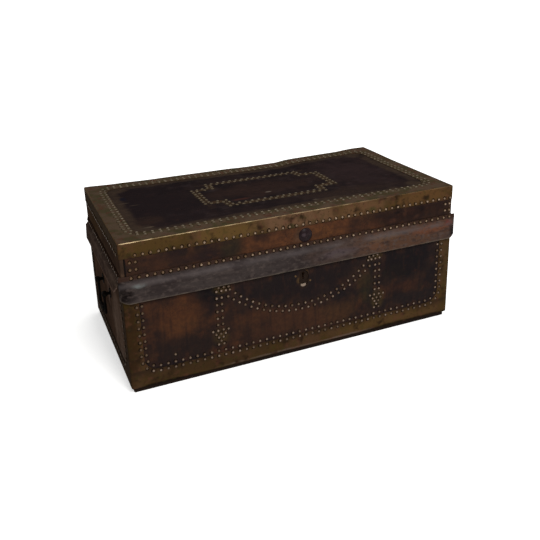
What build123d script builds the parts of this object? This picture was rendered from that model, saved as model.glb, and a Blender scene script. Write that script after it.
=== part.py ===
"""Leather-covered camphorwood dowry chest with brass sheet edges and domed brass nails.

Millimetres, +Z up. The origin is the middle of the underside, the front faces -Y and the
hinges are at the back (+Y). The lid is closed, both bails hang and the lock bolt is drawn back.
"""

from build123d import *
import math
import os

os.makedirs("parts", exist_ok=True)

# ---- Driving dimensions ------------------------------------------------------------------
LENGTH = 900.0  # over the brass, left to right
DEPTH = 460.0  # over the brass, front to back
HEIGHT = 386.0  # floor to the top of the lid
JOINT_Z = 278.0  # rim of the chest, where the lid comes down
JOINT_GAP = 0.5  # daylight between the rim and the lid

WALL = 16.0  # camphorwood of the walls and the lid's rails
TOP_BOARD = 14.0
LEATHER = 2.0
BRASS = 1.2
COVER_Z = 12.0  # underside of the covered walls; the bottom board shows below it
BASE_INSET = 6.5  # bottom board, back from the covering
BASE_CORNER = 3.0
BASE_CHAMFER = 1.0

CORNER_RADIUS = 5.0  # upright corners, over the brass
LOWER_RADIUS = 4.5  # lower edges, over the brass
EDGE_RADIUS = 3.0  # upper edges of the lid
CORNER_BAND = 36.0  # brass on each face beside an upright corner
FOOT_BAND = 42.5  # brass up each face from the lower edge
FOOT_FLARE = 34.0  # sweep of the brass where corner band and foot band meet
LID_BAND_SIDE = 37.5  # brass down each face of the lid
LID_BAND_TOP = 50.0  # brass across the lid's top
LID_BAND_RADIUS = 38.0
LEATHER_WRAP = 10.0  # end leather of the lid, carried round onto front and back
LEATHER_SEAM = 0.8

NAIL_RADIUS = 4.4
NAIL_RISE = 2.6
NAIL_PITCH = 18.3

FLAP_THICK = 2.5
FLAP_TOP = 305.5
FLAP_ROOT_FOOT = 295.0  # nailed flat down to here
FLAP_BELLY_Z = 287.0  # where it has swung out
FLAP_BELLY_BACK = 2.0  # the belly, back from the outermost part
FLAP_HANG_Z = 266.0  # and hangs straight from here
FLAP_UNDERCUT = 3.0  # the inside turns out lower than the outside
FLAP_FRONT_BOTTOM = 239.0
FLAP_END_BOTTOM = 246.0
FLAP_FRONT_OUT = 9.5  # how far the skirt's outside stands off the brass, at the front
FLAP_END_OUT = 12.0  # and at the ends
FLAP_FRONT_HALF = 457.0  # it reaches past the corners
FLAP_END_SPAN = (-225.8, 216.0)  # along Y, just short of the front skirt and of the back
FLAP_TEAR = [(-146, 245), (-168, 256), (-196, 262), (-208, 276), (-226, 283)]  # left skirt, y and z

BOSS_X = 11.0
BOSS_Z = 324.5
BOSS_RADIUS = 18.0
BOSS_RISE = 7.0
BOSS_RIM = 1.2
BOSS_SHOULDER = (0.62, 0.82)  # a point of its dome, in shares of radius and rise
BOSS_PIN = 1.5

KEYHOLE_X = 4.0
KEYHOLE_Z = 221.0  # centre of its round part
KEYHOLE_RADIUS = 4.0
KEYHOLE_SLOT = 15.0  # centre of the round part to the foot of the slot

BAIL_ROD = 3.4  # radius of the iron
BAIL_HALF = 39.0  # middle of the handle to a leg
BAIL_DROP = 59.0
BAIL_PIVOT_Z = 187.0
BAIL_STANDOFF = 15.0  # pivot from the leather
BAIL_BEND = 4.5
BAIL_END = 6.5  # rod past the middle of an eye
GRIP_SWELL = 1.4
EYE_CLEARANCE = 0.1

HINGE_X = 280.0
HINGE_WIDTH = 70.0
LEAF_HEIGHT = 40.0
LEAF_THICK = 2.2
KNUCKLE_RADIUS = 4.6
HINGE_PIN = 2.4
PIN_CLEARANCE = 0.05
KNUCKLES = 5
KNUCKLE_GAP = 0.4
KNUCKLE_NOTCH = 0.6  # daylight between a knuckle and the other leaf
HINGE_STANDOFF = 0.2
PIN_HEAD = 1.4
SCREW_HEAD = (3.4, 2.2, 1.5)  # radius at the foot, radius at the top, rise

# ---- Derived places ----------------------------------------------------------------------
half_l = LENGTH / 2
half_d = DEPTH / 2
skin = BRASS + LEATHER
carcass_z = COVER_Z + BRASS  # walls stand here, on the bottom board
lid_z = JOINT_Z + JOINT_GAP
rail_top = HEIGHT - skin - TOP_BOARD
leather_y = half_d - BRASS  # leather face, front (negative) and back
leather_x = half_l - BRASS
wood_y = half_d - skin
wood_x = half_l - skin
inside_y = wood_y - WALL
inside_x = wood_x - WALL
hinge_y = leather_y + KNUCKLE_RADIUS + HINGE_STANDOFF

FRONT = Plane(origin=(0, -half_d, 0), x_dir=(1, 0, 0), z_dir=(0, -1, 0))
BACK = Plane(origin=(0, half_d, 0), x_dir=(-1, 0, 0), z_dir=(0, 1, 0))
LEFT = Plane(origin=(-half_l, 0, 0), x_dir=(0, -1, 0), z_dir=(-1, 0, 0))
RIGHT = Plane(origin=(half_l, 0, 0), x_dir=(0, 1, 0), z_dir=(1, 0, 0))
TOP = Plane(origin=(0, 0, HEIGHT), x_dir=(1, 0, 0), z_dir=(0, 0, 1))


def save(piece, name):
    """Labels a finished part and writes it as one STEP."""
    piece.part.label = name
    export_step(piece.part, f"parts/{name}.step")
    volume_cm3 = piece.part.volume / 1000
    print(f"{name:28s} solids {len(piece.part.solids()):4d}  {volume_cm3:9.2f} cm3")


def block(inset, bottom, top, lower_round=0.0, upper_round=0.0):
    """Solid block inside the chest's outline, inset from its sides."""
    with BuildPart() as solid:
        with BuildSketch(Plane.XY.offset(bottom)):
            RectangleRounded(LENGTH - 2 * inset, DEPTH - 2 * inset, CORNER_RADIUS - inset)
        extrude(amount=top - bottom)
        if lower_round:
            fillet(solid.faces().sort_by(Axis.Z)[0].edges(), lower_round)
        if upper_round:
            fillet(solid.faces().sort_by(Axis.Z)[-1].edges(), upper_round)
    return solid.part


chest_brass = block(0, COVER_Z, JOINT_Z, lower_round=LOWER_RADIUS)
chest_leather = block(BRASS, carcass_z, JOINT_Z, lower_round=LOWER_RADIUS - BRASS)
chest_wood = block(skin, carcass_z, JOINT_Z, lower_round=LOWER_RADIUS - skin)
lid_brass = block(0, lid_z, HEIGHT, upper_round=EDGE_RADIUS)
lid_leather = block(BRASS, lid_z, HEIGHT - BRASS, upper_round=EDGE_RADIUS - BRASS)
lid_wood = block(skin, lid_z, HEIGHT - skin)

# ---- Carcass: four walls and the board nailed up under them ------------------------------
wall_height = JOINT_Z - carcass_z
wall_mid_z = carcass_z + wall_height / 2

for name, side in (("front_board", -1), ("back_board", 1)):
    with BuildPart() as long_wall:
        add(chest_wood)
        with Locations((0, side * (wood_y - WALL / 2), wall_mid_z)):
            Box(LENGTH, WALL, wall_height, mode=Mode.INTERSECT)
        if side < 0:
            with BuildSketch(Plane.XZ):
                with Locations((KEYHOLE_X, KEYHOLE_Z)):
                    Circle(KEYHOLE_RADIUS)
                with Locations((KEYHOLE_X, KEYHOLE_Z - KEYHOLE_SLOT / 2)):
                    Rectangle(KEYHOLE_RADIUS, KEYHOLE_SLOT)
            extrude(amount=DEPTH, both=True, mode=Mode.SUBTRACT)
    save(long_wall, name)

for name, side in (("left_board", -1), ("right_board", 1)):
    with BuildPart() as end_wall:
        add(chest_wood)
        with Locations((side * (wood_x - WALL / 2), 0, wall_mid_z)):
            Box(WALL, 2 * inside_y, wall_height, mode=Mode.INTERSECT)
    save(end_wall, name)

with BuildPart() as bottom_board:
    with Locations((0, 0, carcass_z / 2)):
        Box(LENGTH - 2 * BASE_INSET, DEPTH - 2 * BASE_INSET, carcass_z)
    fillet(bottom_board.edges().filter_by(Axis.Z), BASE_CORNER)
    chamfer(bottom_board.faces().sort_by(Axis.Z)[0].edges(), BASE_CHAMFER)
save(bottom_board, "bottom_board")

# ---- Leather covering of the walls -------------------------------------------------------
# The covering is torn away round the keyhole, where the brass plate used to hold it down.
TORN_EDGE = [
    (-10, -2), (-6, 6), (2, 9), (10, 6), (15, -5), (14, -18), (10, -31), (0, -37), (-9, -30), (-12, -15),
]

for name, side in (("leather_front", -1), ("leather_back", 1)):
    with BuildPart() as long_leather:
        add(chest_leather)
        add(chest_wood, mode=Mode.SUBTRACT)
        with Locations((0, side * (wood_y + LEATHER), wall_mid_z)):
            Box(LENGTH, 2 * LEATHER, wall_height, mode=Mode.INTERSECT)
        if side < 0:
            with BuildSketch(Plane.XZ):
                with BuildLine():
                    Spline([(KEYHOLE_X + x, KEYHOLE_Z + z) for x, z in TORN_EDGE], periodic=True)
                make_face()
            extrude(amount=DEPTH, mode=Mode.SUBTRACT)
    save(long_leather, name)

for name, side in (("leather_left", -1), ("leather_right", 1)):
    with BuildPart() as end_leather:
        add(chest_leather)
        add(chest_wood, mode=Mode.SUBTRACT)
        with Locations((side * (wood_x + LEATHER), 0, wall_mid_z)):
            Box(2 * LEATHER, 2 * wood_y, wall_height, mode=Mode.INTERSECT)
    save(end_leather, name)

# ---- Brass at the upright corners, flared where it meets the brass at the foot -----------
flare_z = COVER_Z + FOOT_BAND
with BuildPart() as corner_space:
    with Locations((-half_l + CORNER_BAND / 2, -half_d + CORNER_BAND / 2, (flare_z + JOINT_Z) / 2)):
        Box(CORNER_BAND, CORNER_BAND, JOINT_Z - flare_z)
    for face, start, turn in ((FRONT, -half_l + CORNER_BAND, 1), (LEFT, half_d - CORNER_BAND, -1)):
        with BuildSketch(face):
            with BuildLine():
                foot = Line((start, flare_z), (start + turn * FOOT_FLARE, flare_z))
                Line((start, flare_z), (start, flare_z + FOOT_FLARE))
                RadiusArc(foot @ 1, (start, flare_z + FOOT_FLARE), turn * FOOT_FLARE)
            make_face()
        extrude(amount=-CORNER_BAND / 4)

with BuildPart() as front_left_band:
    add(chest_brass)
    add(chest_leather, mode=Mode.SUBTRACT)
    add(corner_space.part, mode=Mode.INTERSECT)

for name, planes in (
    ("corner_band_front_left", []),
    ("corner_band_front_right", [Plane.YZ]),
    ("corner_band_back_left", [Plane.XZ]),
    ("corner_band_back_right", [Plane.YZ, Plane.XZ]),
):
    with BuildPart() as corner_band:
        add(front_left_band.part)
        for plane in planes:
            mirror(about=plane, mode=Mode.REPLACE)
    save(corner_band, name)


def mitre(side, reach):
    """Plan of the strip along one side of the chest, mitred at 45 degrees at both ends."""
    near_x = half_l - reach
    near_y = half_d - reach
    plans = {
        "front": [(-half_l, -half_d), (half_l, -half_d), (near_x, -near_y), (-near_x, -near_y)],
        "back": [(-half_l, half_d), (half_l, half_d), (near_x, near_y), (-near_x, near_y)],
        "left": [(-half_l, -half_d), (-half_l, half_d), (-near_x, near_y), (-near_x, -near_y)],
        "right": [(half_l, -half_d), (half_l, half_d), (near_x, near_y), (near_x, -near_y)],
    }
    return plans[side]


# ---- Brass bent under the lower edges ----------------------------------------------------
for side in ("front", "back", "left", "right"):
    with BuildPart() as bottom_band:
        add(chest_brass)
        add(chest_leather, mode=Mode.SUBTRACT)
        with BuildSketch(Plane.XY.offset(COVER_Z)):
            Polygon(*mitre(side, BASE_INSET), align=None)
        extrude(amount=FOOT_BAND, mode=Mode.INTERSECT)
    save(bottom_band, f"bottom_band_{side}")

# ---- Lid: rails, top board and leather ---------------------------------------------------
rail_height = rail_top - lid_z
rail_mid_z = (rail_top + lid_z) / 2

for name, side in (("lid_front_rail", -1), ("lid_back_rail", 1)):
    with BuildPart() as long_rail:
        add(lid_wood)
        with Locations((0, side * (wood_y - WALL / 2), rail_mid_z)):
            Box(LENGTH, WALL, rail_height, mode=Mode.INTERSECT)
    save(long_rail, name)

for name, side in (("lid_left_rail", -1), ("lid_right_rail", 1)):
    with BuildPart() as end_rail:
        add(lid_wood)
        with Locations((side * (wood_x - WALL / 2), 0, rail_mid_z)):
            Box(WALL, 2 * inside_y, rail_height, mode=Mode.INTERSECT)
    save(end_rail, name)

with BuildPart() as lid_top_board:
    add(lid_wood)
    with Locations((0, 0, rail_top + TOP_BOARD / 2)):
        Box(LENGTH, DEPTH, TOP_BOARD, mode=Mode.INTERSECT)
save(lid_top_board, "lid_top_board")

leather_top_z = HEIGHT - skin
lid_side_height = leather_top_z - lid_z
lid_side_mid_z = (leather_top_z + lid_z) / 2

with BuildPart() as lid_leather_top:
    add(lid_leather)
    with Locations((0, 0, leather_top_z + LEATHER / 2)):
        Box(LENGTH, DEPTH, LEATHER, mode=Mode.INTERSECT)
save(lid_leather_top, "lid_leather_top")

panel_length = LENGTH - 2 * (LEATHER_WRAP + LEATHER_SEAM)
for name, side in (("lid_leather_front", -1), ("lid_leather_back", 1)):
    with BuildPart() as lid_long_leather:
        add(lid_leather)
        add(lid_wood, mode=Mode.SUBTRACT)
        with Locations((0, side * (wood_y + LEATHER), lid_side_mid_z)):
            Box(panel_length, 2 * LEATHER, lid_side_height, mode=Mode.INTERSECT)
    save(lid_long_leather, name)

for name, side in (("lid_leather_left", -1), ("lid_leather_right", 1)):
    with BuildPart() as lid_end_leather:
        add(lid_leather)
        add(lid_wood, mode=Mode.SUBTRACT)
        with Locations((side * (half_l - LEATHER_WRAP / 2), 0, lid_side_mid_z)):
            Box(LEATHER_WRAP, DEPTH, lid_side_height, mode=Mode.INTERSECT)
    save(lid_end_leather, name)

# ---- Brass bent over the lid's upper edges -----------------------------------------------
for side in ("front", "back", "left", "right"):
    with BuildPart() as lid_band:
        add(lid_brass)
        add(lid_leather, mode=Mode.SUBTRACT)
        with BuildSketch(Plane.XY.offset(HEIGHT - LID_BAND_SIDE)):
            Polygon(*mitre(side, LID_BAND_TOP + LID_BAND_RADIUS), align=None)
            window = (LENGTH - 2 * LID_BAND_TOP, DEPTH - 2 * LID_BAND_TOP)
            RectangleRounded(*window, LID_BAND_RADIUS, mode=Mode.SUBTRACT)
        extrude(amount=LID_BAND_SIDE, mode=Mode.INTERSECT)
    save(lid_band, f"lid_band_{side}")


# ---- Leather skirt over the joint: nailed on above, bellied out, free below --------------
def skirt_outline(out, bottom):
    """Closed section of the skirt, as distance off the brass and height."""
    root = -BRASS
    belly = out - FLAP_BELLY_BACK
    return [
        (root, FLAP_TOP),
        (root + FLAP_THICK, FLAP_TOP),
        (root + FLAP_THICK, FLAP_ROOT_FOOT),
        (belly, FLAP_BELLY_Z),
        (out, FLAP_HANG_Z),
        (out, bottom),
        (out - FLAP_THICK, bottom),
        (out - FLAP_THICK, FLAP_HANG_Z),
        (belly - FLAP_THICK, FLAP_BELLY_Z - FLAP_UNDERCUT),
        (root, FLAP_ROOT_FOOT - FLAP_UNDERCUT),
    ]


front_section = Plane(origin=(-FLAP_FRONT_HALF, -half_d, 0), x_dir=(0, -1, 0), z_dir=(-1, 0, 0))
with BuildPart() as flap_front:
    with BuildSketch(front_section):
        Polygon(*skirt_outline(FLAP_FRONT_OUT, FLAP_FRONT_BOTTOM), align=None)
    extrude(amount=-2 * FLAP_FRONT_HALF)
save(flap_front, "flap_front")

flap_start, flap_end_y = FLAP_END_SPAN
for name, side in (("flap_left", -1), ("flap_right", 1)):
    section = Plane(origin=(side * half_l, flap_start, 0), x_dir=(side, 0, 0), z_dir=(0, -side, 0))
    with BuildPart() as flap_end:
        with BuildSketch(section):
            Polygon(*skirt_outline(FLAP_END_OUT, FLAP_END_BOTTOM), align=None)
        extrude(amount=-side * (flap_end_y - flap_start))
        if side < 0:
            with BuildSketch(LEFT):
                tear = [(-y, z) for y, z in FLAP_TEAR]
                Polygon(*tear, (tear[-1][0] + WALL, tear[-1][1]), (tear[-1][0] + WALL, tear[0][1] - WALL),
                        (tear[0][0], tear[0][1] - WALL), align=None)
            extrude(amount=2 * FLAP_END_OUT, both=True, mode=Mode.SUBTRACT)
    save(flap_end, name)

# ---- Domed brass nails -------------------------------------------------------------------
with BuildPart() as nail_head:
    with BuildSketch(Plane.XZ):
        with BuildLine():
            Line((0, 0), (NAIL_RADIUS, 0))
            dome_radius = (NAIL_RADIUS**2 + NAIL_RISE**2) / (2 * NAIL_RISE)
            RadiusArc((NAIL_RADIUS, 0), (0, NAIL_RISE), -dome_radius)
            Line((0, NAIL_RISE), (0, 0))
        make_face()
    revolve(axis=Axis.Z)

SIDE_NAILS = 30.0  # outer column of nails from an upright corner
SIDE_NAILS_INNER = 42.0
FOOT_NAILS_Z = 49.0
FOOT_NAILS_INNER_Z = 62.0
COLUMN_TOP_Z = 225.0
PATTERN_RADIUS = 40.0  # rounding of the nailed border at its lower corners
LID_ROWS_Z = (354.0, 300.0)
LID_TOP_ROWS = (33.0, 45.0)  # nailed border on the lid's top, in from the edges
LID_TOP_RADIUS = 44.0
END_ROW_INSET = 22.0  # ends of the lid's rows, from the corners
FLAP_ROW_INSET = 8.0
BACK_ROW_INSET = 24.0
HINGE_SPACE = 8.0  # between a hinge and the nails beside it
BRASS_FACE = 0.0
LEATHER_FACE = -BRASS
FLAP_FACE = FLAP_THICK - BRASS


def spaced(start, end, pitch=NAIL_PITCH):
    """Evenly spaced values from start to end, both included."""
    count = max(1, round(abs(end - start) / pitch))
    return [start + (end - start) * i / count for i in range(count + 1)]


def along(edge, pitch=NAIL_PITCH):
    """Points spaced along a wire or edge, both ends included."""
    count = max(1, round(edge.length / pitch))
    return [tuple(edge @ (i / count))[:2] for i in range(count + 1)]


def border(half_width, foot_z, radius):
    """One line of a nailed border: down one side, round the corner, along the foot and up."""
    foot = [(-half_width, foot_z), (half_width, foot_z)]
    turns = [(-half_width, COLUMN_TOP_Z), *foot, (half_width, COLUMN_TOP_Z)]
    return along(FilletPolyline(*turns, radius=radius))


def nail_group(name, rows):
    """Writes a group of nail heads; each row is a face plane, its height off it and points."""
    with BuildPart() as group:
        for face, height, points in rows:
            with Locations(face.offset(height)):
                with Locations(*points):
                    add(nail_head.part)
    save(group, name)


corner_inset = SIDE_NAILS_INNER - SIDE_NAILS
outer_line = border(half_l - SIDE_NAILS, FOOT_NAILS_Z, PATTERN_RADIUS)
inner_line = border(half_l - SIDE_NAILS_INNER, FOOT_NAILS_INNER_Z, PATTERN_RADIUS - corner_inset)
nail_group("nails_front_border", [(FRONT, BRASS_FACE, outer_line), (FRONT, LEATHER_FACE, inner_line)])

end_line = border(half_d - SIDE_NAILS, FOOT_NAILS_Z, PATTERN_RADIUS)
other_lines = [(BACK, BRASS_FACE, outer_line), (LEFT, BRASS_FACE, end_line), (RIGHT, BRASS_FACE, end_line)]
nail_group("nails_plain_borders", other_lines)

# Pilasters with a bow at the head and a tassel at the foot, and the swag hung between them.
DRAPE_X = -1.0
PILASTER_HALF = 220.0
PILASTER_COLUMN = 6.4
PILASTER_ROWS_Z = (222.0, 204.0, 186.5, 168.5, 150.0, 133.0)
BOW = [(0, 231.5), (12.5, 231), (25, 230), (18, 221.5)]
TASSEL = [
    (-20, 117), (-7, 117.5), (7, 117.5), (20, 117),
    (-12, 107), (0, 107.5), (12, 107),
    (-6, 98), (6, 98),
    (0, 88.5),
    (-7, 79.5), (7, 79.5),
]
SWAG_UPPER = (140.0, 68.0, 178.0, 2.3, 192.0)  # foot height, rise, half span, power, end
SWAG_LOWER = (126.0, 67.0, 184.0, 2.15, 197.0)
STRAY_NAIL = (-338.0, 81.0)


def swag(foot_z, rise, half_span, power, end):
    """Nails spaced evenly along one line of the swag."""
    steps = 400
    xs = [end * (2 * i / steps - 1) for i in range(steps + 1)]
    line = [(x, foot_z + rise * (abs(x) / half_span) ** power) for x in xs]
    runs = [0.0]
    for a, b in zip(line, line[1:]):
        runs.append(runs[-1] + math.dist(a, b))
    nails = []
    for target in spaced(0, runs[-1]):
        nearest = min(range(steps + 1), key=lambda i: abs(runs[i] - target))
        nails.append((DRAPE_X + line[nearest][0], line[nearest][1]))
    return nails


drape = swag(*SWAG_UPPER) + swag(*SWAG_LOWER) + [STRAY_NAIL]
for side in (-1, 1):
    pilaster_x = DRAPE_X + side * PILASTER_HALF
    for z in PILASTER_ROWS_Z:
        drape += [(pilaster_x - PILASTER_COLUMN, z), (pilaster_x + PILASTER_COLUMN, z)]
    drape += [(pilaster_x - side * x, z) for x, z in BOW]
    drape += [(pilaster_x + x, z) for x, z in TASSEL]
nail_group("nails_drape", [(FRONT, LEATHER_FACE, drape)])

# Nails round the sides of the lid: a row on the brass, a row through the skirt's root.
LID_COLUMNS = (-426.5, -413.0, 426.5, 440.0)  # close pairs at the two ends of its front
LID_COLUMNS_Z = (337.0, 319.0)
upper_row = [(x, LID_ROWS_Z[0]) for x in spaced(LID_COLUMNS[1], LID_COLUMNS[3])]
lower_row = [(x, LID_ROWS_Z[1]) for x in spaced(LID_COLUMNS[0], LID_COLUMNS[3])]
end_pairs = [(x, z) for x in LID_COLUMNS for z in LID_COLUMNS_Z]
lid_sides = [
    (FRONT, BRASS_FACE, upper_row),
    (FRONT, FLAP_FACE, lower_row),
    (FRONT, LEATHER_FACE, end_pairs),
]
end_row = spaced(END_ROW_INSET - half_d, half_d - END_ROW_INSET)
flap_row = spaced(flap_start + FLAP_ROW_INSET, flap_end_y - FLAP_ROW_INSET)
for face, turn in ((LEFT, -1), (RIGHT, 1)):
    lid_sides.append((face, BRASS_FACE, [(y, LID_ROWS_Z[0]) for y in end_row]))
    lid_sides.append((face, FLAP_FACE, [(turn * y, LID_ROWS_Z[1]) for y in flap_row]))
back_row = spaced(BACK_ROW_INSET - half_l, half_l - BACK_ROW_INSET)
back_low = [x for x in back_row if abs(abs(x) - HINGE_X) > HINGE_WIDTH / 2 + HINGE_SPACE]
lid_sides.append((BACK, BRASS_FACE, [(x, LID_ROWS_Z[0]) for x in back_row]))
lid_sides.append((BACK, LEATHER_FACE, [(x, LID_ROWS_Z[1]) for x in back_low]))
nail_group("nails_lid_sides", lid_sides)


def lid_border(inset, radius):
    """One nailed line round the lid's top."""
    with BuildLine() as line:
        half_x = half_l - inset
        half_y = half_d - inset
        corners = [(-half_x, -half_y), (half_x, -half_y), (half_x, half_y), (-half_x, half_y)]
        FilletPolyline(*corners, radius=radius, close=True)
    ring = line.wires()[0]
    count = round(ring.length / NAIL_PITCH)
    return [tuple(ring @ (i / count))[:2] for i in range(count)]


row_step = LID_TOP_ROWS[1] - LID_TOP_ROWS[0]
outer_ring = lid_border(LID_TOP_ROWS[0], LID_TOP_RADIUS)
inner_ring = lid_border(LID_TOP_ROWS[1], LID_TOP_RADIUS - row_step)
nail_group("nails_lid_border", [(TOP, BRASS_FACE, outer_ring + inner_ring)])

# Cartouche: a long panel with its corners stepped in, in two lines of nails.
CARTOUCHE_QUARTER = [(182.0, 54.0), (136.0, 60.0), (130.0, 95.0)]
CARTOUCHE_SHIFT = [(1.0, 0.9), (0.9, 1.0), (0.9, 1.0)]  # how each corner moves outward
CARTOUCHE_HALF_GAP = 6.2


def cartouche(out):
    """Closed line of nails, moved out (or in) from the middle of the double line."""
    pairs = zip(CARTOUCHE_QUARTER, CARTOUCHE_SHIFT)
    quarter = [(x + out * along_x, y + out * along_y) for (x, y), (along_x, along_y) in pairs]
    ring = quarter + [(-x, y) for x, y in reversed(quarter)]
    ring += [(-x, -y) for x, y in quarter] + [(x, -y) for x, y in reversed(quarter)]
    nails = []
    for a, b in zip(ring, ring[1:] + ring[:1]):
        count = round(math.dist(a, b) / NAIL_PITCH)
        for i in range(count):
            nails.append((a[0] + (b[0] - a[0]) * i / count, a[1] + (b[1] - a[1]) * i / count))
    return nails


cartouche_nails = cartouche(CARTOUCHE_HALF_GAP) + cartouche(-CARTOUCHE_HALF_GAP)
nail_group("nails_lid_cartouche", [(TOP, LEATHER_FACE, cartouche_nails)])

# ---- Boss on the lid's front -------------------------------------------------------------
with BuildPart() as boss:
    with BuildSketch(Plane.XZ):
        with BuildLine():
            Line((0, 0), (BOSS_RADIUS, 0))
            Line((BOSS_RADIUS, 0), (BOSS_RADIUS, BOSS_RIM))
            shoulder = (BOSS_RADIUS * BOSS_SHOULDER[0], BOSS_RISE * BOSS_SHOULDER[1])
            ThreePointArc((BOSS_RADIUS, BOSS_RIM), shoulder, (0, BOSS_RISE))
            Line((0, BOSS_RISE), (0, 0))
        make_face()
    revolve(axis=Axis.Z)
    Hole(BOSS_PIN + PIN_CLEARANCE)
boss_place = FRONT.offset(-BRASS) * Location((BOSS_X, BOSS_Z, 0))
boss.part = boss.part.moved(boss_place)
save(boss, "boss")

with BuildPart() as boss_pin:
    with Locations(boss_place):
        Cylinder(BOSS_PIN, BOSS_RISE, align=(Align.CENTER, Align.CENTER, Align.MIN))
save(boss_pin, "boss_pin")

# ---- Keyhole plate: its foot and two pins are left ---------------------------------------
PLATE_THICK = 1.4
PLATE_FOOT = (7.5, 5.0)  # half axes of the crescent's lower edge
PLATE_BREAK = (8.0, 3.5)  # and of its broken upper edge
PLATE_FOOT_DROP = 30.0  # below the middle of the keyhole's round part
PLATE_BREAK_DROP = 24.0
PLATE_PINS = [(-21.5, -3.0), (19.0, -22.0)]
PLATE_PIN_HEAD = (2.8, 1.6, 1.6)

with BuildPart() as escutcheon_stub:
    with BuildSketch(FRONT.offset(-skin)):
        with Locations((KEYHOLE_X, KEYHOLE_Z - PLATE_FOOT_DROP)):
            Ellipse(*PLATE_FOOT)
        with Locations((KEYHOLE_X, KEYHOLE_Z - PLATE_BREAK_DROP)):
            Ellipse(*PLATE_BREAK, mode=Mode.SUBTRACT)
    extrude(amount=PLATE_THICK)
save(escutcheon_stub, "escutcheon_stub")

with BuildPart() as escutcheon_pins:
    with Locations(FRONT.offset(-BRASS)):
        with Locations(*[(KEYHOLE_X + x, KEYHOLE_Z + z) for x, z in PLATE_PINS]):
            Cone(*PLATE_PIN_HEAD, align=(Align.CENTER, Align.CENTER, Align.MIN))
save(escutcheon_pins, "escutcheon_pins")

# ---- Box lock inside the front board -----------------------------------------------------
CASE_WIDTH = 96.0
CASE_DEEP = 15.0
CASE_Z = (200.0, 276.0)
CASE_WALL = 2.0
COVER_THICK = 1.5
EYE_X = 26.0  # staple of the lid, beside the keyhole
EYE_WIDTH = 8.0
EYE_THICK = 4.0
EYE_FOOT_Z = 252.0
BOLT_Z = 262.0
BOLT_HEIGHT = 10.0
BOLT_THICK = 3.8
BOLT_LENGTH = 50.0
BOLT_FIT = 0.1
BOLT_TRAVEL = 18.0
BOLT_PAST_EYE = 6.0  # its tip, past the eye when thrown
BOLT_CHAMFER = 0.6
GUIDES_X = (-26.0, 10.0)
GUIDE_WIDTH = 6.0
COVER_CORNER = 3.0
COVER_SCREWS_INSET = 7.0
EYE_SLOT = (10.0, 11.0)  # in the top of the case, for the eye
LINK_PLATE = (44.0, 2.5, 24.0)
LINK_FOOT_Z = 284.0
LINK_ARM = (14.0, 3.0)
EYE_HOLE = (4.6, 11.6)

case_height = CASE_Z[1] - CASE_Z[0]
case_mid_z = (CASE_Z[0] + CASE_Z[1]) / 2
eye_y = -inside_y + 8.0
guide_deep = eye_y + inside_y + BOLT_THICK / 2 + CASE_WALL
with BuildPart() as lock_case:
    with Locations((KEYHOLE_X, -inside_y + (CASE_DEEP - COVER_THICK) / 2, case_mid_z)):
        Box(CASE_WIDTH, CASE_DEEP - COVER_THICK, case_height)
    with Locations((KEYHOLE_X, -inside_y + CASE_WALL + CASE_DEEP / 2, case_mid_z)):
        Box(CASE_WIDTH - 2 * CASE_WALL, CASE_DEEP, case_height - 2 * CASE_WALL, mode=Mode.SUBTRACT)
    for x in GUIDES_X:
        with Locations((KEYHOLE_X + x, -inside_y + guide_deep / 2, BOLT_Z)):
            Box(GUIDE_WIDTH, guide_deep, BOLT_HEIGHT + 2 * CASE_WALL)
    with Locations((KEYHOLE_X, eye_y, BOLT_Z)):
        bolt_way = (CASE_WIDTH - 2 * CASE_WALL, BOLT_THICK + 2 * BOLT_FIT, BOLT_HEIGHT + 2 * BOLT_FIT)
        Box(*bolt_way, mode=Mode.SUBTRACT)
    with Locations((KEYHOLE_X + EYE_X, eye_y, CASE_Z[1])):
        Box(*EYE_SLOT, 3 * CASE_WALL, mode=Mode.SUBTRACT)
    with BuildSketch(Plane.XZ.offset(inside_y)):
        with Locations((KEYHOLE_X, KEYHOLE_Z)):
            Circle(KEYHOLE_RADIUS)
        with Locations((KEYHOLE_X, KEYHOLE_Z - KEYHOLE_SLOT / 2)):
            Rectangle(KEYHOLE_RADIUS, KEYHOLE_SLOT)
    extrude(amount=2 * CASE_WALL, both=True, mode=Mode.SUBTRACT)
save(lock_case, "lock_case")

with BuildPart() as lock_cover:
    with Locations((KEYHOLE_X, -inside_y + CASE_DEEP - COVER_THICK / 2, case_mid_z)):
        Box(CASE_WIDTH, COVER_THICK, case_height)
    fillet(lock_cover.edges().filter_by(Axis.Y), COVER_CORNER)
save(lock_cover, "lock_cover")

cover_face = Plane(origin=(KEYHOLE_X, -inside_y + CASE_DEEP, case_mid_z), x_dir=(-1, 0, 0), z_dir=(0, 1, 0))
screws_inset = 2 * COVER_SCREWS_INSET
with BuildPart() as lock_screws:
    with Locations(cover_face):
        with GridLocations(CASE_WIDTH - screws_inset, case_height - screws_inset, 2, 2):
            Cone(*SCREW_HEAD, align=(Align.CENTER, Align.CENTER, Align.MIN))
save(lock_screws, "lock_screws")

bolt_tip = KEYHOLE_X + EYE_X + EYE_THICK / 2 + BOLT_PAST_EYE - BOLT_TRAVEL
with BuildPart() as lock_bolt:
    with Locations((bolt_tip - BOLT_LENGTH / 2, eye_y, BOLT_Z)):
        Box(BOLT_LENGTH, BOLT_THICK, BOLT_HEIGHT)
    chamfer(lock_bolt.faces().sort_by(Axis.X)[-1].edges(), BOLT_CHAMFER)
save(lock_bolt, "lock_bolt")

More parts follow.
